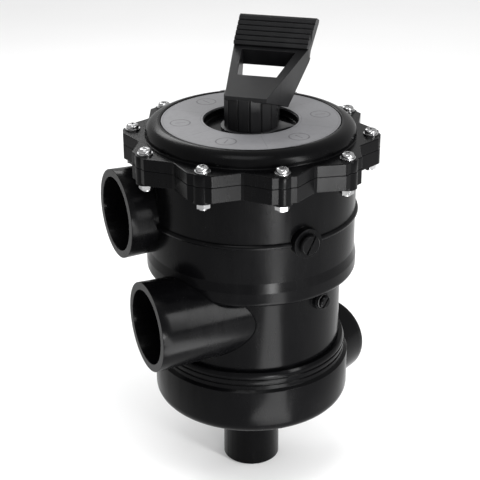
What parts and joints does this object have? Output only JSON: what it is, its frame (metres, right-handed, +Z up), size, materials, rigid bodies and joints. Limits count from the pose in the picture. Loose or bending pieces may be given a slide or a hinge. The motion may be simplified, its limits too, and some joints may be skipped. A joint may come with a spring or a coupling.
{
  "type": "multiport valve",
  "caption": "Six-way pool filter valve with a clamped cover, pressed-and-turned lever handle, two side sockets, one rear socket and a bottom nipple.",
  "frame": {"origin": "centre of the open lower end of the bottom nipple, on the valve axis", "axes": "+Z up along the valve axis; the front, with the lower side socket, faces -Y and -X; the lever leans back toward +Y"},
  "size_m": [0.2264, 0.2101, 0.3795],
  "materials": {
    "black_plastic": "semi-gloss moulded",
    "handle_plastic": "satin moulded",
    "inner_plastic": "moulded",
    "label_film": "satin printed film",
    "seal_rubber": "matte",
    "steel": "bright stainless"
  },
  "bodies": {
    "casing": {"bottom_nipple": "black_plastic", "lower_drum": "black_plastic", "valve_body": "black_plastic", "port_socket_upper": "black_plastic", "port_socket_lower": "black_plastic", "port_socket_rear": "black_plastic", "port_divider": "inner_plastic", "divider_rim": "inner_plastic", "divider_webs": "inner_plastic", "spider_gasket": "seal_rubber", "cover_o_ring": "seal_rubber", "spring_washer_upper": "steel", "cover": "black_plastic", "label_plate": "label_film", "cover_screws": "steel", "screw_washers": "steel", "cover_nuts": "steel", "gauge_plug": "black_plastic", "gauge_plug_ring": "seal_rubber", "drain_plug": "black_plastic", "drain_plug_ring": "seal_rubber"},
    "turning": {"index_washer": "inner_plastic", "return_spring": "steel"},
    "rotor_group": {"rotor": "inner_plastic", "selector_stem": "inner_plastic", "stem_o_rings": "seal_rubber", "spring_washer_lower": "steel"},
    "lever": {"lever_handle": "handle_plastic", "handle_pin": "handle_plastic"}
  },
  "joints": [
    {"name": "selector_turn", "type": "hinge", "parent": "casing", "child": "turning", "pos_m": [0, 0, 0.305], "axis": [0, 0, 1], "continuous": true},
    {"name": "rotor_lift", "type": "slide", "parent": "turning", "child": "rotor_group", "axis": [0, 0, 1], "range_m": [0, 0.0095], "stiffness_N_per_m": 400, "springref_m": -0.012, "deforming": ["return_spring"]},
    {"name": "lever_press", "type": "hinge", "parent": "rotor_group", "child": "lever", "pos_m": [0, 0, 0.318], "axis": [-0.9613, 0.2756, 0], "range_deg": [0, 30]}
  ],
  "couplings": [
    {"joint": "rotor_lift", "follows": "lever_press", "m_per_rad": 0.018}
  ]
}
